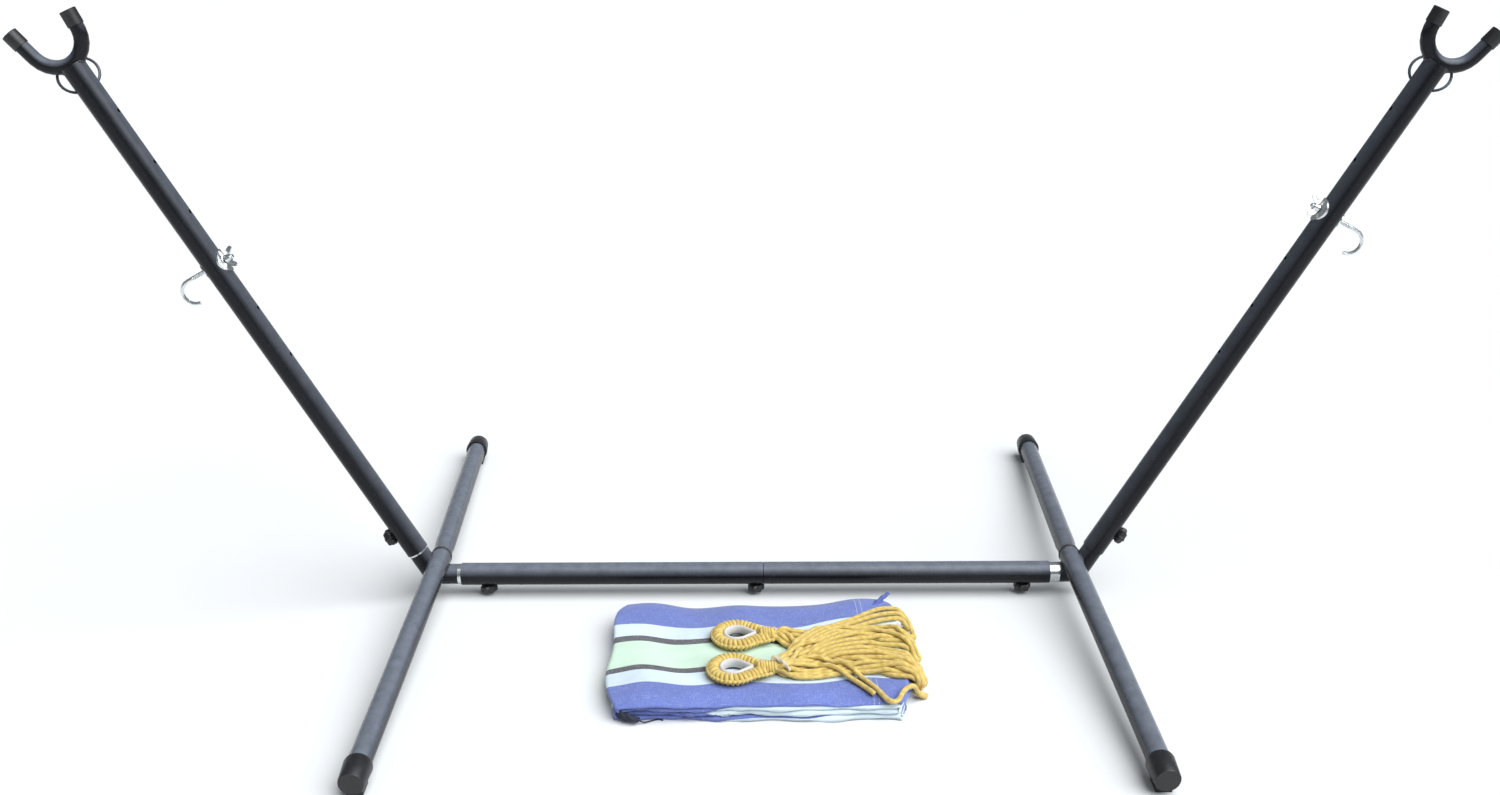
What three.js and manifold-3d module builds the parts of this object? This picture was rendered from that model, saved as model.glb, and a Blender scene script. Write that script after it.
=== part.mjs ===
// Portable steel hammock stand with its striped hammock folded on the floor in front of it.
// Millimetres. X runs along the beam (left is -X), Y is depth (the front is -Y), Z is up,
// and the origin is on the floor under the middle of the stand.
import * as THREE from 'three';
import { mergeVertices } from 'three/addons/utils/BufferGeometryUtils.js';
import Module from 'manifold-3d';

const wasm = await Module();
wasm.setup();

// ---- driving dimensions ------------------------------------------------------------------
const GAP = 0.3;                 // clearance left between touching pieces
const WALL = 1.5;                // steel tube wall
const TUBE_R = 21;               // arm and beam tube, outside radius
const STUB_R = 19;               // corner stub, slides into the arm and the beam
const FOOT_R = 19;               // foot tube, outside radius
const FORK_R = 12.5;             // fork tube, outside radius

const JUNCTION_X = 610;          // middle of the stand to each corner
const BEAM_Z = 44;               // beam axis above the floor
const ARM_TILT = THREE.MathUtils.degToRad(28.8);   // arm from the vertical, leaning outward
const ARM_REACH = 1098;          // corner to the fork's centreline, along the arm
const SOCKET_START = 58;         // corner to the open end of the arm tube
const BEAM_END = 557;            // middle of the stand to the open end of the beam tube
const STUB_DEPTH = 70;           // how far a stub goes inside its tube
const BEAM_JOINT_X = 14;         // where the two halves of the beam meet
const BEAM_TAIL = 90;            // reduced tail of the right half inside the left half

const FOOT_END = 640;            // corner to the outer face of a foot cap, along Y
const FOOT_SPLAY = 14;           // how far each foot end stands outward of the corner
const FOOT_DROP = 14;            // how far each foot end lies below the beam axis
const WELD_IN = 13;              // the two foot tubes meet this far inward of the corner,
const WELD_BACK = 15;            // this far behind it
const WELD_UP = 29;              // and this far above it
const NECK_R = 16;               // swaged end of the rear foot tube
const NECK_IN = 6;               // its length inside the front foot tube
const STUB_PAST = 14;            // stub beyond the corner, before the elbow's mitre is cut
const CAP_R = 23.5;              // foot cap, outside radius at its rim
const CAP_END_R = 21;            // and at its closed end
const CAP_LENGTH = 48;
const CAP_FACE = 4;              // thickness of a foot cap's end
const PAD_WIDTH = 26;            // flat sole under a foot cap
const PAD_BACK = 13;             // its outer edge behind the cap's face
const PAD_LENGTH = CAP_LENGTH - PAD_BACK - 1;

const HOLE_PITCH = 100;          // height-setting holes along the arm
const HOLE_COUNT = 6;
const FIRST_HOLE = 100;          // fork centreline to the first hole
const HOLE_R = 4.2;
const HOOK_HOLE = { left: 4, right: 3 };            // hole that carries the hook

const RING_R = 34;               // ring, centreline radius
const RING_WIRE = 2.5;
const RING_HOLE_BELOW = 42;      // fork centreline to the ring's cross hole
const RING_HOLE_R = 5.2;
const RING_TURN = THREE.MathUtils.degToRad(60);     // cross hole, turned outward from the front
const RING_LEAN = THREE.MathUtils.degToRad(-32);    // ring leans behind the fork

const HOOK_WIRE = 3.5;           // hook rod radius
const HOOK_BEND = 22;            // hook bowl, centreline radius
const HOOK_SHANK_OUT = 60;       // arm axis to the start of the bowl
const SADDLE_R = 22;             // oval saddle plate before it is curved over the arm,
const SADDLE_HALF_WIDTH = 17;    // half its width across the arm
const SADDLE_THICK = 2.5;
const WASHER_R = 13;
const WASHER_THICK = 1.6;

const KNOB_R = 14.5;             // knob, mean radius
const KNOB_LOBE = 1.5;
const KNOB_LOBES = 7;
const KNOB_HEIGHT = 14;
const KNOB_SEAT = TUBE_R + GAP + 1;                 // tube axis to a knob's seat
const STUD_R = 4;
const STUD_LENGTH = 16;          // stud beyond the knob's seat
const STUD_HOLE_R = 4.6;
const NUT_R = 7.5;               // weld nut, to its corners
const NUT_HEIGHT = 6;
const KNOB_ALONG = 105;          // corner to the arm knob, along the arm
const BEAM_KNOB_X = 508;         // middle of the stand to each outer beam knob

const CLOTH = { left: -255, right: 262, back: -108, front: -436, height: 34 };
const ROPE_THICK = 28;           // height of the rope bundles on the cloth
const EYE_WIRE = 10;             // wrapped eye, rope radius
const EYE_R = 34;                // wrapped eye, loop centreline radius
const EYE_POINT = 52;            // loop centre to where its two sides meet

const TUBE_SIDES = 24;           // facets round a large tube
const FORK_SIDES = 14;
const ROD_SIDES = 8;             // facets round a hook, ring or rope
const HOLE_SIDES = 10;

// ---- geometry helpers --------------------------------------------------------------------
const solidOf = (geometry) => {
  const bare = geometry.index ? geometry.toNonIndexed() : geometry.clone();
  bare.deleteAttribute('normal');
  bare.deleteAttribute('uv');
  const welded = mergeVertices(bare, 1e-4);
  return new wasm.Manifold(new wasm.Mesh({
    numProp: 3,
    vertProperties: new Float32Array(welded.attributes.position.array),
    triVerts: new Uint32Array(welded.index.array),
  }));
};

const geometryOf = (solid) => {
  const mesh = solid.getMesh();
  const geometry = new THREE.BufferGeometry();
  geometry.setAttribute('position', new THREE.BufferAttribute(Float32Array.from(mesh.vertProperties), 3));
  geometry.setIndex(new THREE.BufferAttribute(Uint32Array.from(mesh.triVerts), 1));
  geometry.computeVertexNormals();
  return geometry;
};

const cut = (geometry, ...tools) =>
  geometryOf(tools.reduce((left, tool) => left.subtract(solidOf(tool)), solidOf(geometry)));

const fuse = (geometry, ...others) =>
  geometryOf(others.reduce((sum, other) => sum.add(solidOf(other)), solidOf(geometry)));

const common = (geometry, other) => geometryOf(solidOf(geometry).intersect(solidOf(other)));

// A solid of revolution about +Z from (radius, height) pairs; the outline closes on itself.
const turned = (outline, segments = TUBE_SIDES) => {
  const points = outline.map(([radius, height]) => new THREE.Vector2(radius, height));
  const closed = points[0].x > 0 ? [...points, points[0].clone()] : points;
  return new THREE.LatheGeometry(closed, segments).rotateX(Math.PI / 2);
};

// A round tube along +Z from z = low to z = high.
const pipe = (outer, inner, low, high, segments = TUBE_SIDES) =>
  turned([[inner, low], [outer, low], [outer, high], [inner, high]], segments);

// A solid bar along +Z.
const bar = (radius, low, high, segments = HOLE_SIDES) =>
  turned([[0, low], [radius, low], [radius, high], [0, high]], segments);

// Turns a +Z shape so that it runs along `direction` from `origin`.
const aimed = (geometry, origin, direction) => geometry.applyMatrix4(new THREE.Matrix4().compose(
  origin,
  new THREE.Quaternion().setFromUnitVectors(new THREE.Vector3(0, 0, 1), direction.clone().normalize()),
  new THREE.Vector3(1, 1, 1),
));

// A round rod swept along a curve.
const sweptRod = (curve, radius, steps, sides = ROD_SIDES) => {
  const section = new THREE.Shape();
  section.absarc(0, 0, radius, 0, Math.PI * 2, false);
  return new THREE.ExtrudeGeometry(section, {
    steps, extrudePath: curve, curveSegments: sides / 2, bevelEnabled: false,
  });
};

// Points of an arc in the arm's plane: centre (r, s), angles counted from -s towards +r.
const arcPoints = (centre, radius, from, to, count) => Array.from({ length: count }, (unused, i) => {
  const angle = from + (to - from) * i / (count - 1);
  return new THREE.Vector3(centre.x + radius * Math.sin(angle), 0, centre.z - radius * Math.cos(angle));
});

// ---- materials ---------------------------------------------------------------------------
const material = (color, roughness, metalness) =>
  new THREE.MeshStandardMaterial({ color, roughness, metalness });
const blackSteel = () => material(0x26272c, 0.4, 0.35);
const zinc = () => material(0xd2d6d8, 0.3, 0.9);
const blackPlastic = () => material(0x17181a, 0.55, 0);
const cloth = () => material(0x6f84d8, 0.9, 0);
const rope = () => material(0xdcbb66, 0.9, 0);

const group = new THREE.Group();
group.name = 'hammock_on_stand';

const add = (parent, name, geometry, look) => {
  const mesh = new THREE.Mesh(geometry, look);
  mesh.name = name;
  parent.add(mesh);
  return mesh;
};

// ---- one side of the stand ----------------------------------------------------------------
// Everything is written for the right-hand side (+X). The arm's own frame has its origin at the
// corner, +Z along the arm, +X across the arm towards the middle of the stand (the upper face)
// and +Y to the front; the left-hand side is the same thing seen in a mirror.
const ARM_DIRECTION = new THREE.Vector3(Math.sin(ARM_TILT), 0, Math.cos(ARM_TILT));
const ORIGIN = new THREE.Vector3();
const ALONG_X = new THREE.Vector3(1, 0, 0);
const FRONTWARD = new THREE.Vector3(0, -1, 0);
const UPWARD = new THREE.Vector3(0, 0, 1);
const DOWNWARD = new THREE.Vector3(0, 0, -1);

// Fork centreline in the arm's frame: two straight prongs joined by a round bend.
const FORK_BEND_R = 48;
const FORK_BEND = new THREE.Vector3(-2, 0, ARM_REACH + 49);
const FORK_TIP_IN = 27;          // straight length of the inner prong
const FORK_TIP_OUT = 49;         // straight length of the outer prong
const FORK_CAP_LENGTH = 27;
const FORK_CAP_R = 14.2;
const FORK_BORE_DEPTH = 20;
const FORK_OUTER_TURN = THREE.MathUtils.degToRad(78);   // bend on the outer side of the arm
const FORK_INNER_TURN = THREE.MathUtils.degToRad(85);   // bend on the inner side

const forkEnds = () => {
  const bend = arcPoints(FORK_BEND, FORK_BEND_R, -FORK_OUTER_TURN, FORK_INNER_TURN, 15);
  const outerDirection = new THREE.Vector3(-Math.cos(FORK_OUTER_TURN), 0, Math.sin(FORK_OUTER_TURN));
  const innerDirection = new THREE.Vector3(Math.cos(FORK_INNER_TURN), 0, Math.sin(FORK_INNER_TURN));
  const outerTip = bend[0].clone().addScaledVector(outerDirection, FORK_TIP_OUT);
  const innerTip = bend[bend.length - 1].clone().addScaledVector(innerDirection, FORK_TIP_IN);
  return { bend, outerTip, innerTip, outerDirection, innerDirection };
};

const forkRod = (radius) => {
  const { bend, outerTip, innerTip } = forkEnds();
  const curve = new THREE.CurvePath();
  curve.add(new THREE.LineCurve3(outerTip, bend[0]));
  curve.add(new THREE.CatmullRomCurve3(bend));
  curve.add(new THREE.LineCurve3(bend[bend.length - 1], innerTip));
  return sweptRod(curve, radius, 20, FORK_SIDES);
};

// Square-ended cutter across the whole arm tube, for a hole drilled along `direction`.
const drill = (radius, along, direction, length = 60) =>
  aimed(bar(radius, -length / 2, length / 2), new THREE.Vector3(0, 0, along), direction);

// Cutter for a knob stud's hole in the wall on the `outward` side of a tube's axis.
const studCutter = (at, outward) => aimed(bar(STUD_HOLE_R, 5, 30), at, outward);

const armTube = () => {
  const tube = pipe(TUBE_R, TUBE_R - WALL, SOCKET_START, ARM_REACH - 1);
  const holes = Array.from({ length: HOLE_COUNT }, (unused, i) =>
    drill(HOLE_R, ARM_REACH - FIRST_HOLE - i * HOLE_PITCH, ALONG_X));
  const ringHole = drill(RING_HOLE_R, ARM_REACH - RING_HOLE_BELOW, ringAxis());
  const studHole = studCutter(new THREE.Vector3(0, 0, KNOB_ALONG), ALONG_X.clone().negate());
  return cut(tube, forkRod(FORK_R + GAP), ...holes, ringHole, studHole);
};

// Fork tube, bored out at both open tips as far as the bends.
const fork = () => {
  const { outerTip, innerTip, outerDirection, innerDirection } = forkEnds();
  const bore = FORK_R - WALL;
  const mouths = [
    aimed(bar(bore, -FORK_BORE_DEPTH, 1, FORK_SIDES), outerTip, outerDirection),
    aimed(bar(bore, -FORK_BORE_DEPTH, 1, FORK_SIDES), innerTip, innerDirection),
  ];
  return cut(forkRod(FORK_R), ...mouths);
};

const forkCap = (tip, direction) => aimed(turned([
  [0, 0.4], [FORK_R + GAP, 0.4], [FORK_R + GAP, -FORK_CAP_LENGTH + 3], [FORK_CAP_R, -FORK_CAP_LENGTH + 3],
  [FORK_CAP_R, 2], [FORK_CAP_R - 1, 3], [0, 3],
], FORK_SIDES), tip, direction);

// The ring hangs in a cross hole near the top of the arm and leans back behind the fork.
const ringAxis = () => new THREE.Vector3(-Math.sin(RING_TURN), Math.cos(RING_TURN), 0);
const ringUp = () => {
  const side = new THREE.Vector3(Math.cos(RING_TURN), Math.sin(RING_TURN), 0);
  return new THREE.Vector3(0, 0, Math.cos(RING_LEAN)).addScaledVector(side, Math.sin(RING_LEAN));
};

const ring = () => {
  const rise = Math.sqrt(RING_R ** 2 - TUBE_R ** 2);
  const across = ringAxis();
  const up = ringUp();
  const facing = across.clone().cross(up);
  const centre = new THREE.Vector3(0, 0, ARM_REACH - RING_HOLE_BELOW).addScaledVector(up, rise);
  return new THREE.TorusGeometry(RING_R, RING_WIRE, ROD_SIDES, 30)
    .applyMatrix4(new THREE.Matrix4().makeBasis(across, up, facing).setPosition(centre));
};

// Hook: threaded shank through the arm, bowl on the outer face opening back towards the arm.
const hook = (hole) => {
  const along = ARM_REACH - FIRST_HOLE - (hole - 1) * HOLE_PITCH;
  const bowl = arcPoints(new THREE.Vector3(-HOOK_SHANK_OUT, 0, along - HOOK_BEND), HOOK_BEND,
    Math.PI, Math.PI * 1.96, 11);
  const curve = new THREE.CurvePath();
  curve.add(new THREE.LineCurve3(new THREE.Vector3(38, 0, along), bowl[0]));
  curve.add(new THREE.CatmullRomCurve3(bowl));
  return sweptRod(curve, HOOK_WIRE, 22);
};

// An oval plate curved over the arm; `side` is +1 on the upper face and -1 on the outer face.
const curvedPlate = (radius, halfWidth, thick, along, side) => {
  const inner = TUBE_R + GAP;
  const shell = pipe(inner + thick, inner, along - radius - 2, along + radius + 2, TUBE_SIDES);
  const blank = aimed(bar(radius, 0, 40, TUBE_SIDES), new THREE.Vector3(0, 0, along),
    new THREE.Vector3(side, 0, 0)).scale(1, halfWidth / radius, 1);
  const bore = aimed(bar(HOOK_WIRE + GAP, 0, 40), new THREE.Vector3(0, 0, along),
    new THREE.Vector3(side, 0, 0));
  return cut(common(shell, blank), bore);
};

// Wing nut on the hook's shank, seated on the saddle's crown.
const wingNut = (along) => {
  const seat = TUBE_R + GAP * 2 + SADDLE_THICK;
  const bore = HOOK_WIRE + GAP;
  const hub = turned([[bore, 0], [8, 0], [8, 3], [6.5, 9], [bore, 9]], FORK_SIDES);
  const lobe = new THREE.Shape();
  lobe.moveTo(4.6, 1);
  lobe.lineTo(7.5, 0.8);
  lobe.bezierCurveTo(13, 2, 20, 8, 20, 13);
  lobe.bezierCurveTo(20, 17, 14, 17.5, 11, 13.5);
  lobe.lineTo(4.6, 7.5);
  const wing = new THREE.ExtrudeGeometry(lobe, { depth: 3, curveSegments: 5, bevelEnabled: false })
    .translate(0, 0, -1.5).rotateX(Math.PI / 2);
  const other = wing.clone().rotateZ(Math.PI);
  const nut = cut(fuse(hub, wing, other), bar(bore, -1, 12));
  return nut.rotateZ(THREE.MathUtils.degToRad(35)).rotateY(Math.PI / 2).translate(seat, 0, along);
};

// ---- corner ------------------------------------------------------------------------------
const footEnd = (back) => new THREE.Vector3(FOOT_SPLAY, back * FOOT_END, -FOOT_DROP);
const WELD_POINT = new THREE.Vector3(-WELD_IN, WELD_BACK, WELD_UP);
const FRONT_WAY = footEnd(-1).sub(WELD_POINT).normalize();
const FRONT_LENGTH = footEnd(-1).distanceTo(WELD_POINT);
const REAR_WAY = footEnd(1).sub(WELD_POINT).normalize();
const REAR_LENGTH = footEnd(1).distanceTo(WELD_POINT);

// The front foot tube lies over the elbow of the two stubs and takes the rear tube's neck.
const footFrontTube = () => aimed(
  pipe(FOOT_R, FOOT_R - WALL, 0, FRONT_LENGTH - CAP_FACE - GAP), WELD_POINT, FRONT_WAY);

const footRearTube = () => {
  const bore = FOOT_R - WALL;
  const end = REAR_LENGTH - CAP_FACE - GAP;
  return aimed(turned([
    [NECK_R - WALL, -NECK_IN], [NECK_R, -NECK_IN], [NECK_R, 8], [FOOT_R, 50], [FOOT_R, end],
    [bore, end], [bore, 50], [NECK_R - WALL, 8],
  ]), WELD_POINT, REAR_WAY);
};

// Cap from the open end of a foot tube: sleeve, closed face and flat sole down to the floor.
const footCap = (start, way, length) => {
  const back = Math.sign(way.y);
  const low = length - CAP_LENGTH;
  const middle = start.clone().addScaledVector(way, length - CAP_LENGTH / 2);
  const sleeve = aimed(turned([
    [0, low], [CAP_R - 1, low], [CAP_R, low + 4], [CAP_END_R, length - 2], [CAP_END_R - 1, length],
    [0, length],
  ]), start, way);
  const soleHeight = BEAM_Z + middle.z;
  const soleMiddle = PAD_BACK + PAD_LENGTH / 2 - CAP_LENGTH / 2;
  const sole = new THREE.BoxGeometry(PAD_WIDTH, PAD_LENGTH, soleHeight)
    .translate(middle.x, middle.y - back * soleMiddle, soleHeight / 2 - BEAM_Z);
  const mouth = aimed(bar(FOOT_R + GAP, low - 5, length - CAP_FACE, TUBE_SIDES), start, way);
  return cut(fuse(sleeve, sole), mouth);
};

// Room for the front foot tube where it lies in the elbow of the stubs.
const cornerClear = () => aimed(bar(FOOT_R + GAP, -20, 80, TUBE_SIDES), WELD_POINT, FRONT_WAY);

// Half-space cutter for the elbow's mitre: `side` is +1 for the arm stub and -1 for the beam stub.
const MITRE_TURN = (Math.PI / 2 - ARM_TILT) / 2;
const MITRE_SIZE = 120;
const mitre = (side) => new THREE.BoxGeometry(MITRE_SIZE, MITRE_SIZE, MITRE_SIZE)
  .translate(-side * (MITRE_SIZE - GAP) / 2, 0, 0).rotateY(-MITRE_TURN);

const armStub = () => {
  const stub = pipe(STUB_R, STUB_R - WALL, -STUB_PAST, SOCKET_START + STUB_DEPTH);
  const studHole = studCutter(new THREE.Vector3(0, 0, KNOB_ALONG), ALONG_X.clone().negate());
  return cut(cut(stub, studHole).applyMatrix4(armMatrix()), mitre(1), cornerClear());
};

const beamStub = () => {
  const stub = aimed(
    pipe(STUB_R, STUB_R - WALL, -STUB_PAST, JUNCTION_X - BEAM_END + STUB_DEPTH), ORIGIN,
    ALONG_X.clone().negate());
  const studHole = studCutter(new THREE.Vector3(BEAM_KNOB_X - JUNCTION_X, 0, 0), DOWNWARD);
  return cut(stub, mitre(-1), cornerClear(), studHole);
};

// Arm frame to corner frame: +Z along the arm, +X towards the middle and up.
function armMatrix() {
  const across = new THREE.Vector3(-Math.cos(ARM_TILT), 0, Math.sin(ARM_TILT));
  return new THREE.Matrix4().makeBasis(across, FRONTWARD, ARM_DIRECTION);
}

// ---- knob --------------------------------------------------------------------------------
// Fluted knob whose seat is at z = 0 and whose stud points to +Z.
const knobHead = () => {
  const outline = new THREE.Shape();
  const steps = KNOB_LOBES * 4;
  for (let i = 0; i < steps; i += 1) {
    const angle = Math.PI * 2 * i / steps;
    const radius = KNOB_R - 2 + KNOB_LOBE * Math.cos(KNOB_LOBES * angle);
    outline[i ? 'lineTo' : 'moveTo'](radius * Math.cos(angle), radius * Math.sin(angle));
  }
  outline.closePath();
  const body = new THREE.ExtrudeGeometry(outline, {
    depth: KNOB_HEIGHT - 6, bevelThickness: 3, bevelSize: 2, bevelSegments: 1, steps: 1,
  }).translate(0, 0, 3 - KNOB_HEIGHT);
  return cut(body, bar(STUD_R + GAP, -KNOB_HEIGHT + 3, 1));
};
const knobStud = (length) => bar(STUD_R, -KNOB_HEIGHT + 3 + GAP, length);
const weldNut = (low) => cut(
  new THREE.CylinderGeometry(NUT_R, NUT_R, NUT_HEIGHT, 6).rotateX(Math.PI / 2)
    .translate(0, 0, low + NUT_HEIGHT / 2),
  bar(STUD_R + GAP, low - 1, low + NUT_HEIGHT + 1),
);

// Seats a knob against a tube of radius TUBE_R, given the tube's axis point and the inward way.
const addKnob = (parent, name, at, inward) => {
  const seat = at.clone().addScaledVector(inward, -KNOB_SEAT);
  const wallToNut = Math.sqrt((STUB_R - WALL) ** 2 - NUT_R ** 2);
  const turn = new THREE.Quaternion().setFromUnitVectors(new THREE.Vector3(0, 0, 1), inward);
  const pieces = [
    add(parent, `${name}_head`, knobHead(), blackPlastic()),
    add(parent, `${name}_stud`, knobStud(STUD_LENGTH), zinc()),
    add(parent, `${name}_weld_nut`, weldNut(KNOB_SEAT - wallToNut + GAP), zinc()),
  ];
  pieces.forEach((piece) => {
    piece.position.copy(seat);
    piece.quaternion.copy(turn);
  });
};

// ---- build one side, mirrored for the left ------------------------------------------------
const mirrored = (geometry) => {
  const flipped = geometry.index ? geometry.toNonIndexed() : geometry.clone();
  const p = flipped.attributes.position;
  for (let i = 0; i < p.count; i += 1) p.setX(i, -p.getX(i));
  for (let i = 0; i < p.count; i += 3) {
    for (const [get, set] of [['getX', 'setX'], ['getY', 'setY'], ['getZ', 'setZ']]) {
      const keep = p[get](i + 1);
      p[set](i + 1, p[get](i + 2));
      p[set](i + 2, keep);
    }
  }
  flipped.deleteAttribute('normal');
  if (flipped.attributes.uv) flipped.deleteAttribute('uv');
  const welded = mergeVertices(flipped, 1e-4);
  welded.computeVertexNormals();
  return welded;
};

const buildSide = (side) => {
  const corner = new THREE.Group();
  corner.name = `${side}_corner`;
  corner.position.set(side === 'right' ? JUNCTION_X : -JUNCTION_X, 0, BEAM_Z);
  group.add(corner);
  const place = (name, geometry, look) =>
    add(corner, `${side}_${name}`, side === 'right' ? geometry : mirrored(geometry), look);
  const onArm = (geometry) => geometry.applyMatrix4(armMatrix());
  const hookAlong = ARM_REACH - FIRST_HOLE - (HOOK_HOLE[side] - 1) * HOLE_PITCH;
  const { outerTip, innerTip, outerDirection, innerDirection } = forkEnds();

  place('foot_front_tube', footFrontTube(), blackSteel());
  place('foot_rear_tube', footRearTube(), blackSteel());
  place('foot_front_cap', footCap(WELD_POINT, FRONT_WAY, FRONT_LENGTH), blackPlastic());
  place('foot_rear_cap', footCap(WELD_POINT, REAR_WAY, REAR_LENGTH), blackPlastic());
  place('arm_stub', armStub(), blackSteel());
  place('beam_stub', beamStub(), blackSteel());
  place('arm_tube', onArm(armTube()), blackSteel());
  place('fork', onArm(fork()), blackSteel());
  place('fork_outer_cap', onArm(forkCap(outerTip, outerDirection)), blackPlastic());
  place('fork_inner_cap', onArm(forkCap(innerTip, innerDirection)), blackPlastic());
  place('ring', onArm(ring()), blackSteel());
  place('hook', onArm(hook(HOOK_HOLE[side])), zinc());
  place('hook_saddle', onArm(curvedPlate(SADDLE_R, SADDLE_HALF_WIDTH, SADDLE_THICK, hookAlong, 1)), zinc());
  place('hook_washer', onArm(curvedPlate(WASHER_R, WASHER_R, WASHER_THICK, hookAlong, -1)), zinc());
  place('wing_nut', onArm(wingNut(hookAlong)), zinc());

  const sign = side === 'right' ? 1 : -1;
  const up = new THREE.Vector3(sign * ARM_DIRECTION.x, 0, ARM_DIRECTION.z);
  const inward = new THREE.Vector3(-sign * Math.cos(ARM_TILT), 0, Math.sin(ARM_TILT));
  addKnob(corner, `${side}_arm_knob`, up.multiplyScalar(KNOB_ALONG), inward);
};
buildSide('left');
buildSide('right');

// ---- beam --------------------------------------------------------------------------------
const beam = new THREE.Group();
beam.name = 'beam';
beam.position.set(0, 0, BEAM_Z);
group.add(beam);

const beamHole = (x) => studCutter(new THREE.Vector3(x, 0, 0), DOWNWARD);
const TAIL_R = TUBE_R - WALL - 0.5;

const beamLeftTube = () => cut(
  aimed(pipe(TUBE_R, TUBE_R - WALL, -BEAM_END, BEAM_JOINT_X - GAP), ORIGIN, ALONG_X),
  beamHole(-BEAM_KNOB_X), beamHole(0),
);

const beamRightTube = () => cut(
  aimed(turned([
    [TAIL_R - WALL, BEAM_JOINT_X - BEAM_TAIL], [TAIL_R, BEAM_JOINT_X - BEAM_TAIL], [TAIL_R, BEAM_JOINT_X],
    [TUBE_R, BEAM_JOINT_X + 1], [TUBE_R, BEAM_END], [TUBE_R - WALL, BEAM_END],
    [TUBE_R - WALL, BEAM_JOINT_X + 8], [TAIL_R - WALL, BEAM_JOINT_X + 2],
  ]), ORIGIN, ALONG_X),
  beamHole(BEAM_KNOB_X), beamHole(0),
);

add(beam, 'beam_left_tube', beamLeftTube(), blackSteel());
add(beam, 'beam_right_tube', beamRightTube(), blackSteel());
addKnob(beam, 'beam_left_knob', new THREE.Vector3(-BEAM_KNOB_X, 0, 0), UPWARD);
addKnob(beam, 'beam_middle_knob', new THREE.Vector3(0, 0, 0), UPWARD);
addKnob(beam, 'beam_right_knob', new THREE.Vector3(BEAM_KNOB_X, 0, 0), UPWARD);

// ---- folded hammock ------------------------------------------------------------------------
const hammock = new THREE.Group();
hammock.name = 'hammock';
group.add(hammock);

// A slab with a rounded plan and rounded edges, lying from z = low up by `height`.
const softSlab = (outline, low, height, edge) => new THREE.ExtrudeGeometry(outline, {
  depth: height - 2 * edge, bevelThickness: edge, bevelSize: edge, bevelOffset: -edge,
  bevelSegments: 3, steps: 1, curveSegments: 4,
}).translate(0, 0, low + edge);

const clothOutline = () => {
  const corner = 26;
  const { left, right, back, front } = CLOTH;
  const plan = new THREE.Shape();
  plan.moveTo(left + corner, front);
  plan.lineTo(right - corner, front);
  plan.quadraticCurveTo(right, front, right, front + corner);
  plan.lineTo(right, back - corner);
  plan.quadraticCurveTo(right, back, right - corner, back);
  plan.lineTo(left + corner, back);
  plan.quadraticCurveTo(left, back, left, back - corner);
  plan.lineTo(left, front + corner);
  plan.quadraticCurveTo(left, front, left + corner, front);
  return plan;
};

// Wrapped eye and its neck: a drop-shaped loop lying flat.
const EYE = { upper: { x: -36, y: -232 }, lower: { x: -42, y: -344 } };
const NECK_X = 36;               // where an eye's wrapped neck ends and the strands begin
const eyeSolid = ({ x, y }) => {
  const level = CLOTH.height + GAP + EYE_WIRE;
  const loop = Array.from({ length: 17 }, (unused, i) => {
    const angle = THREE.MathUtils.degToRad(42) + THREE.MathUtils.degToRad(276) * i / 16;
    return new THREE.Vector3(x + EYE_R * Math.cos(angle), y + EYE_R * Math.sin(angle), level);
  });
  const join = new THREE.Vector3(x + EYE_POINT, y, level);
  const path = new THREE.CatmullRomCurve3([join.clone().setY(y + 7), ...loop, join.clone().setY(y - 7)]);
  const neck = aimed(bar(EYE_WIRE + 3, 0, NECK_X - join.x + 8, 14),
    new THREE.Vector3(join.x - 8, y, level + 3), ALONG_X);
  return fuse(sweptRod(path, EYE_WIRE, 24, 10), neck);
};

// Outer shape of a bundle of strands, from the wrapped neck out to the cloth's right edge.
const hankOutline = (points) => {
  const plan = new THREE.Shape();
  points.forEach(([x, y], i) => plan[i ? 'lineTo' : 'moveTo'](x, y));
  plan.closePath();
  return plan;
};
const STRANDS_UPPER = [
  [NECK_X + 1, -247], [120, -236], [200, -226], [288, -218], [292, -170], [276, -122], [240, -112],
  [160, -140], [90, -180], [NECK_X + 1, -217],
];
const STRANDS_LOWER = [
  [NECK_X + 1, -362], [100, -376], [180, -392], [262, -396], [292, -366], [298, -300], [290, -221],
  [200, -229], [120, -239], [60, -262], [NECK_X + 1, -330],
];
const ropeBase = CLOTH.height + GAP;

add(hammock, 'hammock_bed', softSlab(clothOutline(), 0, CLOTH.height, 12), cloth());
add(hammock, 'rope_eye_upper', eyeSolid(EYE.upper), rope());
add(hammock, 'rope_eye_lower', eyeSolid(EYE.lower), rope());
add(hammock, 'rope_strands_upper', softSlab(hankOutline(STRANDS_UPPER), ropeBase, ROPE_THICK, 7), rope());
add(hammock, 'rope_strands_lower', softSlab(hankOutline(STRANDS_LOWER), ropeBase, ROPE_THICK, 7), rope());

export default group;
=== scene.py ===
# Portable steel hammock stand with its striped hammock folded on the floor in front of it.
# Metres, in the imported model's frame: +X along the beam, the front is -Y, the floor is z = 0.
import math

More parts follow.
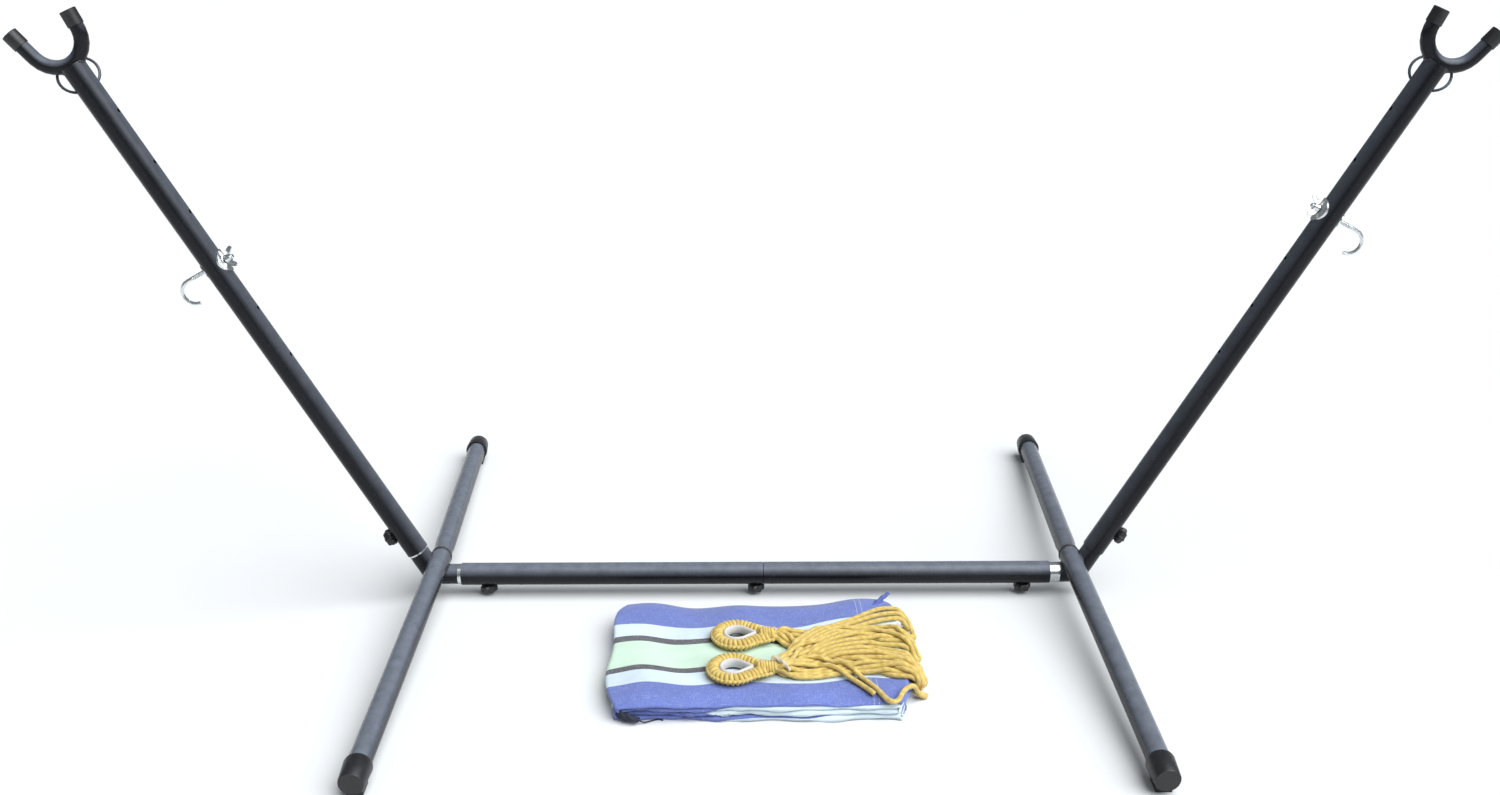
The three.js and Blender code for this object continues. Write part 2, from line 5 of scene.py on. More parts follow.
import bpy
import numpy as np
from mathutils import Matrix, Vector


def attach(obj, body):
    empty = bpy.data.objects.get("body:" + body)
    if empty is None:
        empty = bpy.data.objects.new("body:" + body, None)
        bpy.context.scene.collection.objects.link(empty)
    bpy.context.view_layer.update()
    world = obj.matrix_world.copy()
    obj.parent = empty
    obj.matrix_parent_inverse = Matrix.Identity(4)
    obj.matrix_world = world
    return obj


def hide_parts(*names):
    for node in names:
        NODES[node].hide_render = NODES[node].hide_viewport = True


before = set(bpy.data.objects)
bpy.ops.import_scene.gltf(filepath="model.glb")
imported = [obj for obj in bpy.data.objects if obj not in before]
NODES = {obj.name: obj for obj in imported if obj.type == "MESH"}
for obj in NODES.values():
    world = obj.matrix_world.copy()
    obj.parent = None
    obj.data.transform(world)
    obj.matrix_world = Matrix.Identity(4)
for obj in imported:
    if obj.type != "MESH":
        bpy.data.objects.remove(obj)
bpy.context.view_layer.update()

scene = bpy.context.scene
scene.view_settings.view_transform = "Standard"

SIDES = (("left", -1), ("right", 1))
MM = 0.001

# ---- the stand's own measures, for the pieces that sit on it -----------------------------
CORNER_X = 0.610
BEAM_Z = 0.044
ARM_TILT = math.radians(28.8)
ARM_REACH = 1.098
TUBE_R = 0.021
STUB_R = 0.019
FOOT_R = 0.019
FORK_R = 0.0125


# ---- camera ------------------------------------------------------------------------------
SENSOR_WIDTH = 36.0
LENS = 37.58
FAR_CLIP = 60.0
CAMERA_AT = (-0.0301, -2.6288, 1.4780)
CAMERA_DOWN = 0.3879
CAMERA_PAN = -0.0073


def make_camera():
    data = bpy.data.cameras.new("camera")
    data.sensor_width = SENSOR_WIDTH
    data.lens = LENS
    data.clip_end = FAR_CLIP
    camera = bpy.data.objects.new("camera", data)
    camera.location = CAMERA_AT
    camera.rotation_euler = (math.pi / 2 - CAMERA_DOWN, 0.0, CAMERA_PAN)
    scene.collection.objects.link(camera)
    scene.camera = camera


# ---- folded cloth: where a point of the flat cloth lies ------------------------------------
LAYER_PITCH = 2.2 * MM
LAYERS = 4
RUNS = 4
CLOTH_LEFT, CLOTH_RIGHT = -0.255, 0.262
CLOTH_BACK, CLOTH_FRONT = -0.104, -0.434
CLOTH_MIDDLE_Y = (CLOTH_BACK + CLOTH_FRONT) / 2
PANEL = CLOTH_BACK - CLOTH_FRONT - 0.002
PACKET = LAYERS * LAYER_PITCH
STACK = RUNS * PACKET
SHORT_LAYER = 0.10
FLAT_WIDTH = LAYERS * PANEL - SHORT_LAYER
RUN = CLOTH_RIGHT - CLOTH_LEFT - PACKET
FLAT_LENGTH = RUNS * RUN
STRIP_LEVEL = np.array([0, 3, 2, 1])      # folded in half and in half again: the order of the strips
INNER_STRIP = 0.975                       # the two inner strips lie short of the outer fold
FOLD_V = math.pi * LAYER_PITCH * 3 / 4
FOLD_U = math.pi * PACKET / 4
PUFF_X, PUFF_WIDTH = -0.19, 0.05          # the pile stands higher near its left-hand end
END_FADE = 0.03                           # how far in from an end its unevenness reaches


def ramp(value, low, high):
    share = np.clip((value - low) / (high - low), 0.0, 1.0)
    return share * share * (3 - 2 * share)


def drift(u):
    """How far the lengthwise folds have slipped across the stripes; none in the top run."""
    from_left = np.abs((u / RUN) % 2 - 1)
    slip = 0.030 + 0.044 * ramp(from_left, 0.10, 0.50) + 0.005 * np.sin(17 * u + 0.6)
    slip = slip * (1 - 0.12 * (1 - ramp(u, 0.80 * RUN, RUN)))
    return -slip * (1 - ramp(u, 2.70 * RUN, 3.0 * RUN))


def relief(x, y):
    """Height of the top surface as a share of the flat stack's height."""
    swell = 0.07 * np.sin(12.5 * x + 2.1) * np.cos(9 * y + 3.6)
    swell += 0.05 * np.sin(29 * x - 14 * y + 0.4) + 0.03 * np.sin(53 * x + 22 * y)
    puff = 0.16 * np.exp(-((x - PUFF_X) / PUFF_WIDTH) ** 2)
    edge = np.abs((y - CLOTH_MIDDLE_Y) / (PANEL / 2))
    return 1 + swell + puff - 0.20 * ramp(edge, 0.80, 1.05)


def lay(x, y, z):
    """Bends the exact stack into a hand-folded one."""
    level = z / STACK
    side = (y - CLOTH_MIDDLE_Y) / (PANEL / 2)
    corner = np.abs(side) ** 5
    left = np.exp(-(x - CLOTH_LEFT) / END_FADE)
    right = np.exp(-(CLOTH_RIGHT - x) / END_FADE)

    # rounded corners, wavy ends, and layers that have slid along each other
    new_x = x + 0.018 * corner * left - 0.026 * corner * right
    new_x += 0.004 * np.sin(31 * y + 3 * level) * left + 0.006 * np.sin(23 * y + 5 * level) * right
    new_x += 0.010 * (level - 0.5) * np.sin(7 * y)

    # the upper layers wander and are drawn to the back at the right-hand end
    wave = 0.0085 * np.sin(33 * x + 2.22) + 0.004 * np.sin(14 * x + 1.9)
    new_y = y + wave * level * (1 - 0.75 * np.abs(side) ** 2)
    pulled = 0.018 + 0.022 * (1 - side ** 2) + 0.004 * side
    new_y += pulled * level * ramp(x, 0.03, 0.25)

    # the front edge puckers and the back edge leans
    front = ramp(-side, 0.55, 1.0)
    pucker = 0.0030 * np.sin(38 * x + 6 * level) + 0.0012 * np.sin(92 * x - 9 * level)
    new_y += front * (pucker * (1 - 0.5 * level) + 0.010 * (level - 0.45) * np.sin(9 * x + 0.8))
    new_y += 0.010 * (level - 0.5) * ramp(side, 0.4, 1.0)

    # the top swells and dips, and the layers inside ripple a little
    new_z = z * (1 + (relief(x, y) - 1) * level)
    new_z += 0.0008 * np.sin(97 * x + 31 * y + 14 * level) * level * (1 - level) * 4
    return new_x, new_y, new_z


def folded(u, v, lift=0.0):
    """Points of the flat cloth, u along and v across it, in the folded stack."""
    u, v = np.broadcast_arrays(np.asarray(u, float), np.asarray(v, float))

    # across the cloth: the nearest lengthwise fold and how far round it the point lies
    along = v - drift(u)
    fold = np.clip(np.round(along / PANEL), 1, LAYERS - 1).astype(int)
    off = along - fold * PANEL
    rise = STRIP_LEVEL[fold] - STRIP_LEVEL[fold - 1]
    bend = np.abs(rise) * LAYER_PITCH / 2
    arc = math.pi * bend / 2
    angle = np.clip(off / arc, -1, 1) * math.pi / 2
    reach = np.where(np.abs(off) < arc, -arc + bend * np.cos(angle), -np.abs(off))
    y_local = np.where(fold % 2 == 1, PANEL + reach, -reach)
    y_local = np.where(along > 2 * PANEL, y_local * INNER_STRIP, y_local)
    middle = (STRIP_LEVEL[fold] + STRIP_LEVEL[fold - 1]) / 2
    height = LAYER_PITCH * (middle + rise / 2 * np.sin(angle))

    # along the cloth: the same for the crosswise folds, which take all the strips round together
    turn = np.clip(np.round(u / RUN), 1, RUNS - 1)
    off = u - turn * RUN
    rest = LAYER_PITCH / 2
    radius = np.where(turn % 2 == 1, PACKET - rest - height, rest + height)
    angle = np.clip(off / FOLD_U, -1, 1) * math.pi / 2
    inward = np.maximum(np.abs(off) - FOLD_U, 0) - radius * np.cos(angle)
    x = np.where(turn % 2 == 1, CLOTH_LEFT + PACKET + inward, CLOTH_RIGHT - PACKET - inward)
    z = turn * PACKET + radius * np.sin(angle)
    y = CLOTH_BACK - y_local

    # stitches stand off the outermost layer
    outer = (u > (RUNS - 1) * RUN) & (along < PANEL + arc)
    z = z + np.where(outer, lift * np.cos(np.where(fold == 1, angle + math.pi / 2, 0.0) / 2), 0.0)
    y = y - np.where(outer & (np.abs(off) < arc), lift, 0.0)
    return np.stack(lay(x, y, z), axis=-1)


def stations(count, pitch, step, fold, bends):
    """Sample places along one direction: wide steps on the flat, fine ones round each fold."""
    places = []
    for index in range(count):
        low = index * pitch + (fold if index else 0.0)
        high = (index + 1) * pitch - (fold if index < count - 1 else 0.0)
        flat = max(int(round((high - low) / step)), 2)
        places.extend(np.linspace(low, high, flat + 1))
        if index < count - 1:
            places.extend(np.linspace(high, high + 2 * fold, bends + 1)[1:-1])
    return np.array(places)


# ---- mesh helpers --------------------------------------------------------------------------
def new_object(name, vertices, faces, material, uv=None, smooth=True):
    mesh = bpy.data.meshes.new(name)
    mesh.from_pydata([tuple(map(float, p)) for p in vertices], [], [tuple(map(int, f)) for f in faces])
    mesh.materials.append(material)
    mesh.polygons.foreach_set("use_smooth", [smooth] * len(mesh.polygons))
    if uv is not None:
        layer = mesh.uv_layers.new(name="UVMap")
        corners = np.zeros(len(mesh.loops), int)
        mesh.loops.foreach_get("vertex_index", corners)
        layer.data.foreach_set("uv", np.asarray(uv, float)[corners].ravel())
    mesh.update()
    made = bpy.data.objects.new(name, mesh)
    scene.collection.objects.link(made)
    return made


def grid_faces(rows, columns):
    start = np.arange(rows - 1)[:, None] * columns + np.arange(columns - 1)[None, :]
    quads = np.stack([start, start + 1, start + columns + 1, start + columns], axis=-1)
    return quads.reshape(-1, 4)


def frames_along(path):
    """Two sideways vectors at each point of a path, without twist."""
    tangent = np.gradient(path, axis=0)
    tangent /= np.linalg.norm(tangent, axis=1)[:, None]
    side = np.cross(tangent[0], (0.0, 0.0, 1.0))
    if np.linalg.norm(side) < 1e-3:
        side = np.cross(tangent[0], (1.0, 0.0, 0.0))
    sides = []
    for direction in tangent:
        side = side - direction * side.dot(direction)
        side = side / np.linalg.norm(side)
        sides.append(side)
    sides = np.array(sides)
    return sides, np.cross(tangent, sides)


def distances(path):
    """How far along a path each of its points lies."""
    return np.concatenate([[0.0], np.cumsum(np.linalg.norm(np.diff(path, axis=0), axis=1))])


def resampled(path, step):
    path = np.asarray(path, float)
    run = distances(path)
    count = max(int(round(run[-1] / step)), 4)
    wanted = np.linspace(0, run[-1], count + 1)
    return np.stack([np.interp(wanted, run, path[:, i]) for i in range(3)], axis=1)


def path_length(path):
    return float(np.linalg.norm(np.diff(path, axis=0), axis=1).sum())


def smoothed(path, rounds):
    path = np.array(path, float)
    for _ in range(rounds):
        path[1:-1] = path[1:-1] * 0.5 + (path[:-2] + path[2:]) * 0.25
    return path


def rounded(path, step, rounds):
    """A path with its corners rounded off, in even steps."""
    return resampled(smoothed(resampled(path, step), rounds), step)


def tube(path, radius_at, sides=12):
    """Vertices, faces and uv of a closed tube. radius_at(distance, angle) gives its surface."""
    side, up = frames_along(path)
    run = distances(path)
    angle = np.linspace(0, 2 * math.pi, sides, endpoint=False)
    radius = radius_at(run[:, None], angle[None, :]) * np.ones((len(path), sides))
    ring = side[:, None, :] * np.cos(angle)[None, :, None] + up[:, None, :] * np.sin(angle)[None, :, None]
    points = path[:, None, :] + ring * radius[..., None]
    rows = len(path)
    index = np.arange(rows * sides).reshape(rows, sides)
    following = np.roll(index, -1, axis=1)
    quads = np.stack([index[:-1], following[:-1], following[1:], index[1:]], axis=-1)
    faces = [*quads.reshape(-1, 4).tolist(), index[0][::-1].tolist(), index[-1].tolist()]
    uv = np.stack([np.repeat(run, sides), np.tile(angle, rows)], axis=1)
    return points.reshape(-1, 3), faces, uv


def merged(parts):
    """Joins (vertices, faces, uv) triples into one."""
    points, faces, uvs, start = [], [], [], 0
    for part_points, part_faces, part_uv in parts:
        points.append(part_points)
        uvs.append(part_uv)
        faces.extend([[corner + start for corner in face] for face in part_faces])
        start += len(part_points)
    return np.vstack(points), faces, np.vstack(uvs)


# ---- materials -----------------------------------------------------------------------------
class Look:
    """A new material and short ways to add nodes to it."""

    def __init__(self, name, roughness, metallic=0.0):
        self.material = bpy.data.materials.new(name)
        self.material.use_nodes = True
        self.tree = self.material.node_tree
        self.shader = self.tree.nodes["Principled BSDF"]
        self.shader.inputs["Roughness"].default_value = roughness
        self.shader.inputs["Metallic"].default_value = metallic

    def node(self, kind, **settings):
        made = self.tree.nodes.new("ShaderNode" + kind)
        for key, value in settings.items():
            if hasattr(made, key):
                setattr(made, key, value)
            else:
                made.inputs[key.replace("_", " ")].default_value = value
        return made

    def link(self, source, target):
        self.tree.links.new(source, target)

    def place(self, kind="Object", scale=(1, 1, 1)):
        where = self.node("TexCoord")
        sized = self.node("Mapping")
        sized.inputs["Scale"].default_value = scale
        self.link(where.outputs[kind], sized.inputs["Vector"])
        return sized.outputs["Vector"]

    def noise(self, vector, scale, detail=3.0, roughness=0.55):
        made = self.node("TexNoise", Scale=scale, Detail=detail, Roughness=roughness)
        self.link(vector, made.inputs["Vector"])
        return made.outputs["Fac"]

    def math(self, operation, first, second=0.0, clamp=False):
        made = self.node("Math", operation=operation, use_clamp=clamp)
        for socket, value in zip(made.inputs, (first, second)):
            if isinstance(value, (int, float)):
                socket.default_value = value
            else:
                self.link(value, socket)
        return made.outputs["Value"]

    def span(self, value, low, high, to_low=0.0, to_high=1.0):
        made = self.node("MapRange", clamp=True)
        for name, number in zip(("From Min", "From Max", "To Min", "To Max"), (low, high, to_low, to_high)):
            made.inputs[name].default_value = number
        self.link(value, made.inputs["Value"])
        return made.outputs["Result"]

    def mix(self, share, first, second):
        made = self.node("Mix", data_type="RGBA", blend_type="MIX")
        for socket, value in zip((made.inputs[0], made.inputs[6], made.inputs[7]), (share, first, second)):
            if isinstance(value, (int, float)):
                socket.default_value = value
            elif isinstance(value, tuple):
                socket.default_value = (*value, 1.0)
            else:
                self.link(value, socket)
        return made.outputs[2]

    def bump(self, height, strength, distance, after=None):
        made = self.node("Bump", Strength=strength, Distance=distance)
        self.link(height, made.inputs["Height"])
        if after is not None:
            self.link(after, made.inputs["Normal"])
        return made.outputs["Normal"]

    def sheen(self, weight, roughness):
        self.shader.inputs["Sheen Weight"].default_value = weight
        self.shader.inputs["Sheen Roughness"].default_value = roughness

    def finish(self, color=None, roughness=None, normal=None):
        for name, value in (("Base Color", color), ("Roughness", roughness), ("Normal", normal)):
            if value is not None:
                self.link(value, self.shader.inputs[name])
        return self.material


def powder_coat():
    """Black satin powder coat, painted paler on the faces that look up as a stand-in for the overhead
    light's highlight.
    """
    black, faded = (0.0060, 0.0064, 0.0085), (0.0095, 0.0102, 0.0130)
    painted_top_light, speck = (0.145, 0.159, 0.194), (0.110, 0.118, 0.130)
    look = Look("black_powder_coat", 0.26)
    look.shader.inputs["Specular IOR Level"].default_value = 0.20
    here = look.place()
    color = look.mix(look.span(look.noise(here, 14.0), 0.3, 0.7), black, faded)
    facing = look.node("SeparateXYZ")
    look.link(look.node("NewGeometry").outputs["Normal"], facing.inputs["Vector"])
    # painted highlight: faces that look up are made paler, standing in for the overhead light on them,
    # patchy through noise
    painted_top_light_share = look.span(facing.outputs["Z"], 0.16, 0.82)
    painted_top_light_share = look.math("MULTIPLY", painted_top_light_share, look.span(look.noise(here, 45.0, 4.0, 0.6), 0.25, 0.65, 0.7, 1.0))
    color = look.mix(painted_top_light_share, color, painted_top_light)
    specks = look.span(look.noise(here, 260.0, 5.0, 0.7), 0.60, 0.74)
    color = look.mix(look.math("MULTIPLY", specks, 0.35), color, speck)
    rough = look.span(look.noise(here, 60.0), 0.3, 0.7, 0.22, 0.30)
    peel = look.bump(look.noise(here, 900.0, 2.0), 0.22, 0.0004)
    return look.finish(color, rough, peel)


def zinc_plate():
    """Bright zinc, patchy in colour and in polish."""
    bright, dull = (0.80, 0.82, 0.83), (0.60, 0.62, 0.63)
    look = Look("zinc_plate", 0.26, 1.0)
    here = look.place()
    color = look.mix(look.span(look.noise(here, 220.0), 0.35, 0.7), bright, dull)
    rough = look.span(look.noise(here, 380.0, 4.0), 0.3, 0.7, 0.16, 0.34)
    return look.finish(color, rough, look.bump(look.noise(here, 1600.0, 2.0), 0.10, 0.0002))


def moulded_plastic():
    """Lightly grained black plastic."""
    black, grey = (0.0070, 0.0074, 0.0085), (0.0150, 0.0155, 0.0180)
    look = Look("moulded_plastic", 0.42)
    here = look.place()
    color = look.mix(look.span(look.noise(here, 70.0), 0.3, 0.7), black, grey)
    rough = look.span(look.noise(here, 260.0, 4.0), 0.3, 0.7, 0.34, 0.52)
    return look.finish(color, rough, look.bump(look.noise(here, 1500.0, 3.0), 0.25, 0.0004))


def weld_bead():
    """Powder coat over a rough bead, thin on its crests."""
    coated, thin = (0.016, 0.017, 0.021), (0.050, 0.052, 0.058)
    look = Look("weld_bead", 0.30)
    here = look.place()
    color = look.mix(look.span(look.noise(here, 300.0), 0.4, 0.7), coated, thin)
    return look.finish(color, None, look.bump(look.noise(here, 900.0, 3.0), 0.4, 0.0006))


BLUE = (0.106, 0.150, 0.455)
CYAN = (0.610, 0.720, 0.790)
GREEN = (0.560, 0.740, 0.590)
GREY = (0.070, 0.063, 0.074)
STRIPES = (
    (0.079, BLUE), (0.040, CYAN), (0.018, GREY), (0.077, GREEN), (0.016, GREY), (0.038, CYAN), (0.060, BLUE),
)
COTTON = (0.58, 0.62, 0.70)               # the pale fibres that fleck every stripe


def stripe_colors(look):
    """One set of stripes across the cloth, then its mirror image, and so on."""
    total = sum(width for width, _ in STRIPES)
    parts = look.node("SeparateXYZ")
    look.link(look.place("UV"), parts.inputs["Vector"])
    across = look.math("PINGPONG", parts.outputs["Y"], total)
    wander = look.math("SUBTRACT", look.noise(look.place("UV", (30, 2, 1)), 1.0), 0.5)
    across = look.math("ADD", across, look.math("MULTIPLY", wander, 0.002))
    bands = look.node("ValToRGB")
    bands.color_ramp.interpolation = "CONSTANT"
    elements = bands.color_ramp.elements
    start = 0.0
    for index, (width, color) in enumerate(STRIPES):
        element = elements[index] if index < 2 else elements.new(start / total)
        element.position = start / total
        element.color = (*color, 1.0)
        start += width
    look.link(look.math("DIVIDE", across, total), bands.inputs["Fac"])
    return bands.outputs["Color"]


def heathered(look, color):
    """Pale flecks along both sets of threads, and patches that have faded or darkened."""
    warp_slub = look.noise(look.place("UV", (60, 900, 1)), 1.0, 4.0, 0.7)
    weft_slub = look.noise(look.place("UV", (900, 70, 1)), 1.0, 4.0, 0.7)
    heather = look.span(look.math("MULTIPLY", warp_slub, weft_slub), 0.24, 0.40)
    speck = look.span(look.noise(look.place("UV", (420, 520, 1)), 1.0, 2.0, 0.6), 0.56, 0.72)
    light = look.math("MULTIPLY", look.math("ADD", heather, speck, True), 0.30)
    faded = look.span(look.noise(look.place("UV", (9, 14, 1)), 1.0, 3.0), 0.3, 0.7, 0.86, 1.06)
    shade = look.node("HueSaturation")
    look.link(look.mix(light, color, COTTON), shade.inputs["Color"])
    look.link(faded, shade.inputs["Value"])
    return shade.outputs["Color"]


def thread_ridges(look, direction, scale):
    wave = look.node("TexWave", wave_type="BANDS", bands_direction=direction, Scale=1.0, Distortion=0.4)
    look.link(look.place("UV", scale), wave.inputs["Vector"])
    return wave.outputs["Fac"]


def striped_cloth():
    """Stripes run along the cloth's length; the UV map holds metres of flat cloth."""
    look = Look("striped_cloth", 0.85)
    look.sheen(0.25, 0.5)
    color = heathered(look, stripe_colors(look))
    warp = thread_ridges(look, "Y", (0, 180, 0))
    weft = thread_ridges(look, "X", (180, 0, 0))
    normal = look.bump(look.math("MULTIPLY", warp, weft), 0.45, 0.0004)
    crumple = look.noise(look.place("UV", (34, 60, 1)), 1.0, 4.0, 0.6)
    return look.finish(color, None, look.bump(crumple, 0.5, 0.004, normal))


def twisted_cord(name, light, deep):
    """Twisted cord. The UV map holds metres along it and the angle round it."""
    look = Look(name, 0.9)
    look.sheen(0.35, 0.4)
    parts = look.node("SeparateXYZ")
    look.link(look.place("UV"), parts.inputs["Vector"])
    twist = look.math("ADD", look.math("MULTIPLY", parts.outputs["X"], 2400.0), parts.outputs["Y"])
    fibre = look.math("SINE", look.math("MULTIPLY", twist, 6.0))
    along = look.noise(look.place("UV", (90, 0.6, 1)), 1.0, 3.0)
    fuzz = look.noise(look.place(), 1400.0, 4.0, 0.7)
    share = look.span(look.math("ADD", along, look.math("MULTIPLY", fuzz, 0.5)), 0.5, 1.0)
    color = look.mix(share, light, deep)
    normal = look.bump(fibre, 0.35, 0.0003)
    normal = look.bump(fuzz, 0.6, 0.0008, normal)
    return look.finish(color, None, normal)


def plain_thread(name, color, scale=1800.0):
    """Thread or cloth of one colour; scale sets how fine its grain is."""
    look = Look(name, 0.8)
    here = look.place()
    dark = tuple(channel * 0.7 for channel in color)
    tone = look.mix(look.span(look.noise(here, scale), 0.3, 0.7), dark, color)
    return look.finish(tone, None, look.bump(look.noise(here, scale, 3.0), 0.4, 0.0004))


def floor_paint():
    darker, lighter = (0.700, 0.705, 0.710), (0.720, 0.722, 0.725)
    look = Look("floor_paint", 0.9)
    here = look.place()
    tone = look.mix(look.span(look.noise(here, 2.0), 0.3, 0.7), darker, lighter)
    look.shader.inputs["Specular IOR Level"].default_value = 0.1
    return look.finish(tone)


POWDER = powder_coat()
ZINC = zinc_plate()
PLASTIC = moulded_plastic()
WELD = weld_bead()
CLOTH = striped_cloth()
CORD = twisted_cord("mustard_cord", (0.82, 0.635, 0.200), (0.45, 0.285, 0.055))
LINING = plain_thread("white_lining", (0.66, 0.64, 0.61))
STITCH = plain_thread("white_stitching", (0.66, 0.68, 0.72))
TIE = plain_thread("dark_tie_string", (0.020, 0.022, 0.045))
TIP = plain_thread("gathered_blue_cloth", (0.100, 0.135, 0.400), 900.0)
PALE_CORD = twisted_cord("pale_cord", (0.68, 0.62, 0.48), (0.56, 0.45, 0.26))


# ---- cords: laid along listed routes, then settled under their own weight --------------------
CORD_D = 0.0090
CORD_STEP = 0.006
TAUT = 0.97                               # takes out the slack that would buckle a settling cord
EYE_AT = {"upper": (-0.036, -0.232), "lower": (-0.042, -0.344)}
NECK_END_X = 0.034
NECK_HEIGHT = 0.013
NECK_SPREAD = 0.0080                      # the cords leave a neck as a bunch about this wide each way
NECK_PLACES = 12
NECK_TURN = 2.4                           # from one cord's place in the bunch to the next one's
HEM_X = CLOTH_RIGHT + 0.004
HEM_Z = 0.012
TURN_X = 0.276
TURN_ROUNDS = 45
SOFTEN_STEP, SOFTEN_ROUNDS = 0.0025, 16
DRAWN_STEP = 0.0021
TWIST_PITCH = 0.0135

# Each row is one cord: its eye, how high it lies in the pile, and the places in millimetres
# that it passes on its way to the cloth's right-hand end.
ROUTES = (
    ("upper", 0, ((56, -214), (100, -232), (160, -262), (220, -286), (262, -318))),
    ("upper", 0, ((56, -220), (100, -243), (160, -278), (220, -306), (260, -338))),
    ("upper", 0, ((56, -228), (100, -256), (160, -288), (220, -314), (258, -334))),
    ("upper", 0, ((54, -236), (96, -268), (150, -300), (210, -324), (254, -342))),
    ("upper", 0, ((54, -246), (90, -276), (140, -308), (200, -330), (252, -346))),
    ("upper", 1, ((58, -206), (98, -211), (150, -214), (205, -222), (262, -244))),
    ("upper", 1, ((56, -210), (104, -222), (165, -240), (220, -262), (266, -292))),
    ("upper", 1, ((60, -226), (110, -262), (171, -300), (205, -300), (262, -332))),
    ("upper", 1, ((58, -236), (104, -282), (174, -310), (215, -318), (258, -348))),
    ("lower", 1, ((52, -368), (70, -378), (96, -366), (140, -340), (200, -330), (254, -344))),
    ("lower", 1, ((52, -360), (74, -366), (104, -352), (150, -326), (205, -318), (256, -346))),
    ("lower", 2, ((50, -356), (76, -352), (110, -334), (160, -312), (210, -306), (262, -338))),
    ("lower", 3, ((46, -312), (78, -230), (136, -190), (190, -165), (230, -122), (256, -110),
                  (271, -132), (273, -176))),
    ("lower", 2, ((48, -312), (84, -244), (132, -202), (186, -177), (226, -146), (262, -134))),
    ("lower", 2, ((50, -314), (90, -256), (126, -222), (170, -204), (214, -176), (264, -152))),
    ("lower", 4, ((52, -314), (81, -263), (108, -231), (150, -212), (200, -190), (246, -186),
                  (265, -212), (270, -252))),
    ("lower", 3, ((54, -315), (89, -279), (130, -246), (176, -226), (226, -204), (270, -204))),
    ("lower", 3, ((56, -316), (98, -281), (136, -256), (184, -244), (230, -226), (272, -232))),
    ("lower", 3, ((58, -316), (106, -285), (149, -268), (190, -254), (234, -246), (270, -262))),
    ("lower", 4, ((62, -317), (114, -294), (157, -278), (200, -264), (240, -268), (262, -296), (267, -330))),
    ("lower", 4, ((66, -318), (122, -300), (163, -288), (207, -281), (244, -286), (266, -316))),
    ("lower", 5, ((52, -308), (66, -286), (96, -248), (128, -232), (176, -214), (228, -208),
                  (257, -232), (267, -280))),
    ("lower", 5, ((58, -319), (93, -314), (120, -324), (143, -335), (161, -352), (176, -374),
                  (187, -394), (191, -402))),
    ("lower", 5, ((60, -306), (100, -290), (130, -300), (156, -326), (178, -354), (197, -382), (207, -406),
                  (215, -434), (226, -446), (237, -434), (234, -408), (238, -384), (254, -362))),
)
BARE_CORD = 23                            # the cord of this row, counted from 1, ends in view


def top_height(x, y):
    return STACK * relief(x, y)


def first_points(eye, order):
    """Where a cord comes out of its eye's wrapped neck, and the way it leaves."""
    turn = NECK_TURN * order
    spread = NECK_SPREAD * math.sqrt((order % NECK_PLACES + 0.5) / NECK_PLACES)
    y = EYE_AT[eye][1] + spread * math.cos(turn)
    z = float(top_height(NECK_END_X, y)) + NECK_HEIGHT + 0.7 * spread * math.sin(turn)
    return [(NECK_END_X - 0.010, y, z), (NECK_END_X + 0.006, y, z)]


def rough_route(order, eye, level, stops):
    """A cord's route before it settles: out of the neck, over its stops, and down to the hem."""
    points = first_points(eye, order)
    lift = CORD_D * (0.6 + 0.85 * level)
    points += [(x * MM, y * MM, top_height(x * MM, y * MM) + lift) for x, y in stops]
    if order + 1 != BARE_CORD:
        y = points[-1][1]
        points.append((TURN_X, y, STACK + lift * 0.7))
        points += [(TURN_X + 0.017, y, STACK), (TURN_X + 0.018, y, STACK - 0.012)]
        points += [(TURN_X + 0.006, y, HEM_Z + 0.002), (HEM_X, y, HEM_Z)]
    return resampled(smoothed(resampled(points, CORD_STEP / 2), 12), CORD_STEP)


SETTLE_ROUNDS = 160
SEARCH_EVERY = 8                          # rounds between searches for cords that may touch
SEARCH_REACH = CORD_D * 1.7
SEARCH_SKIP = 6                           # points this near to each other on one cord are left out
DROP = 0.0005                             # how far a free point falls in one round
HOMING = 0.02                             # share of its sideways drift that a point gives back
STIFFNESS = 0.35
PUSH = 0.8
TINY = 1e-6


def neighbours(points, owner, place):
    """Pairs of points that may touch."""
    gap = points[:, None, :] - points[None, :, :]
    near = (gap ** 2).sum(axis=-1) < SEARCH_REACH * SEARCH_REACH
    apart = np.abs(place[:, None] - place[None, :]) > SEARCH_SKIP
    near &= (owner[:, None] != owner[None, :]) | apart
    return np.nonzero(np.triu(near, 1))


def push_off_cloth(points):
    """Lifts points off the folded stack's top and right-hand end, and off the floor."""
    radius = CORD_D / 2
    above = points[:, 2] - top_height(points[:, 0], points[:, 1])
    beyond = points[:, 0] - CLOTH_RIGHT
    over = (beyond < 0) & (above < radius) & (above > beyond)
    points[over, 2] += (radius - above)[over]
    past = (beyond < radius) & (above <= beyond) & (above < 0)
    points[past, 0] += (radius - beyond)[past]
    points[:, 2] = np.maximum(points[:, 2], radius)


def straighten(points, inner):
    middle = (points[inner - 1] + points[inner + 1]) / 2
    points[inner] += STIFFNESS * (middle - points[inner])


def push_apart(points, first, second):
    """Pushes pairs of points apart that lie closer than a cord's thickness."""
    gap = points[second] - points[first]
    length = np.maximum(np.linalg.norm(gap, axis=1), TINY)
    short = np.maximum(CORD_D - length, 0) * 0.5
    push = gap / length[:, None] * short[:, None]
    np.add.at(points, second, push * PUSH)
    np.add.at(points, first, -push * PUSH)


def keep_length(points, links, wanted):
    gap = points[links + 1] - points[links]
    length = np.maximum(np.linalg.norm(gap, axis=1), TINY)
    fix = gap * ((length - wanted) / length / 2)[:, None]
    points[links] += fix
    points[links + 1] -= fix


